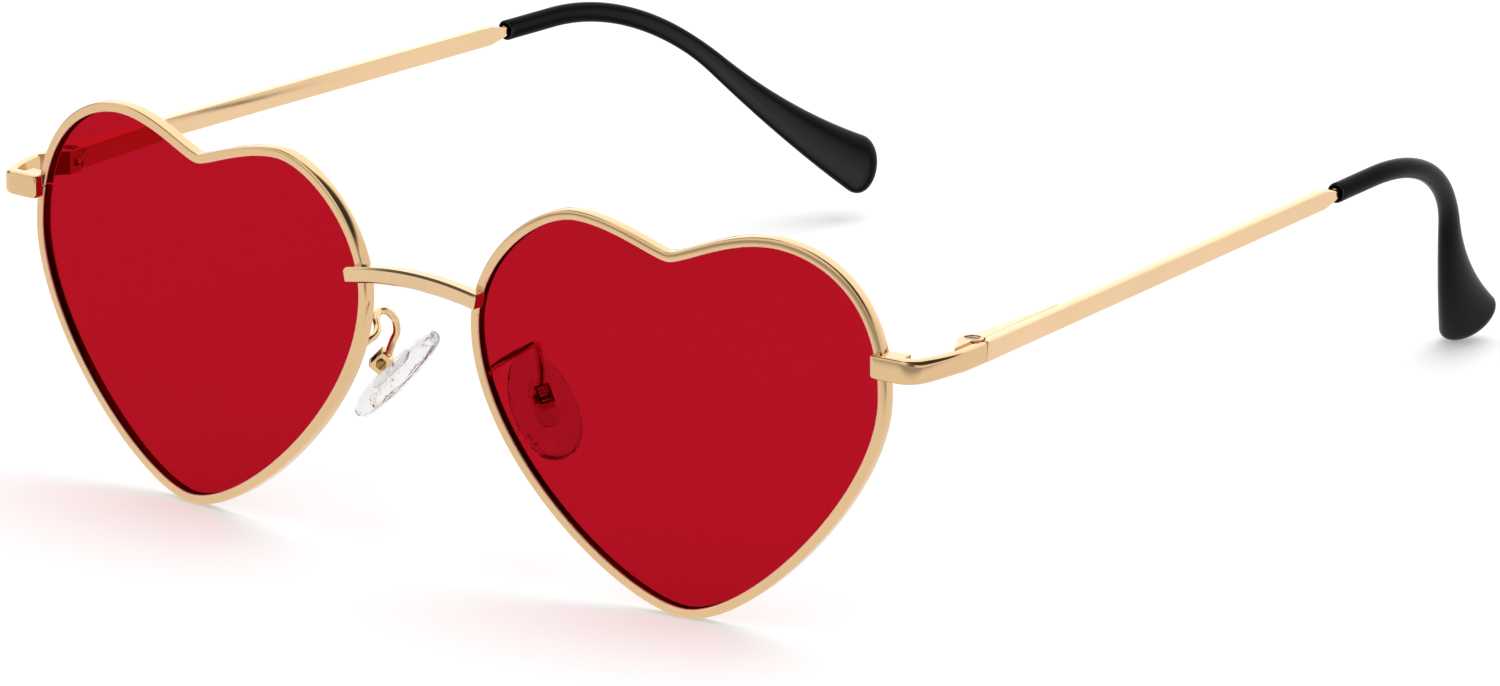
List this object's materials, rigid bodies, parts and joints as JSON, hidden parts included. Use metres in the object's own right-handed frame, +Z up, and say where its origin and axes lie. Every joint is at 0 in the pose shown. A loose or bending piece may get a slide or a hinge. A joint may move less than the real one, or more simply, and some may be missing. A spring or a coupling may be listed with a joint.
{
  "type": "sunglasses",
  "caption": "Heart shaped metal sunglasses with tinted lenses, folding temples, sleeved tips and adjustable nose pads.",
  "frame": {"origin": "middle of the bounding box in plan, on the surface the open glasses stand on", "axes": "+X to the wearer's left, +Y from the lenses back towards the ears, +Z up"},
  "size_m": [0.1352, 0.1532, 0.0458],
  "materials": {
    "gold_metal": "polished gold plating with brushed front faces",
    "gold_screw": "polished",
    "lens_tint": "clear red tint, gloss",
    "clear_silicone": "clear soft gloss",
    "clear_plastic": "clear",
    "black_sleeve": "satin gloss"
  },
  "bodies": {
    "front": {"rim_left": "gold_metal", "rim_right": "gold_metal", "lens_left": "lens_tint", "lens_right": "lens_tint", "bridge": "gold_metal", "end_piece_left": "gold_metal", "end_piece_right": "gold_metal", "rim_lock_upper_left": "gold_metal", "rim_lock_upper_right": "gold_metal", "rim_lock_lower_left": "gold_metal", "rim_lock_lower_right": "gold_metal", "rim_lock_screw_left": "gold_screw", "rim_lock_screw_right": "gold_screw", "hinge_front_left": "gold_metal", "hinge_front_right": "gold_metal", "hinge_screw_left": "gold_screw", "hinge_screw_right": "gold_screw", "pad_arm_left": "gold_metal", "pad_arm_right": "gold_metal", "pad_box_left": "gold_metal", "pad_box_right": "gold_metal", "pad_screw_left": "gold_screw", "pad_screw_right": "gold_screw"},
    "left_temple": {"hinge_rear_left": "gold_metal", "temple_left": "gold_metal", "temple_tip_left": "black_sleeve"},
    "right_temple": {"hinge_rear_right": "gold_metal", "temple_right": "gold_metal", "temple_tip_right": "black_sleeve"},
    "left_pad": {"pad_insert_left": "clear_plastic", "nose_pad_left": "clear_silicone"},
    "right_pad": {"pad_insert_right": "clear_plastic", "nose_pad_right": "clear_silicone"}
  },
  "joints": [
    {"name": "left_temple_fold", "type": "hinge", "parent": "front", "child": "left_temple", "pos_m": [0.06536, -0.05857, 0.03344], "axis": [0, 0, 1], "range_deg": [0, 86]},
    {"name": "right_temple_fold", "type": "hinge", "parent": "front", "child": "right_temple", "pos_m": [-0.06536, -0.05857, 0.03344], "axis": [0, 0, -1], "range_deg": [0, 80]},
    {"name": "left_pad_rock", "type": "hinge", "parent": "front", "child": "left_pad", "pos_m": [0.01183, -0.06699, 0.02025], "axis": [0.5948, 0.7778, 0.2031], "range_deg": [-8, 8]},
    {"name": "right_pad_rock", "type": "hinge", "parent": "front", "child": "right_pad", "pos_m": [-0.01183, -0.06699, 0.02025], "axis": [-0.5948, 0.7778, 0.2031], "range_deg": [-8, 8]}
  ]
}
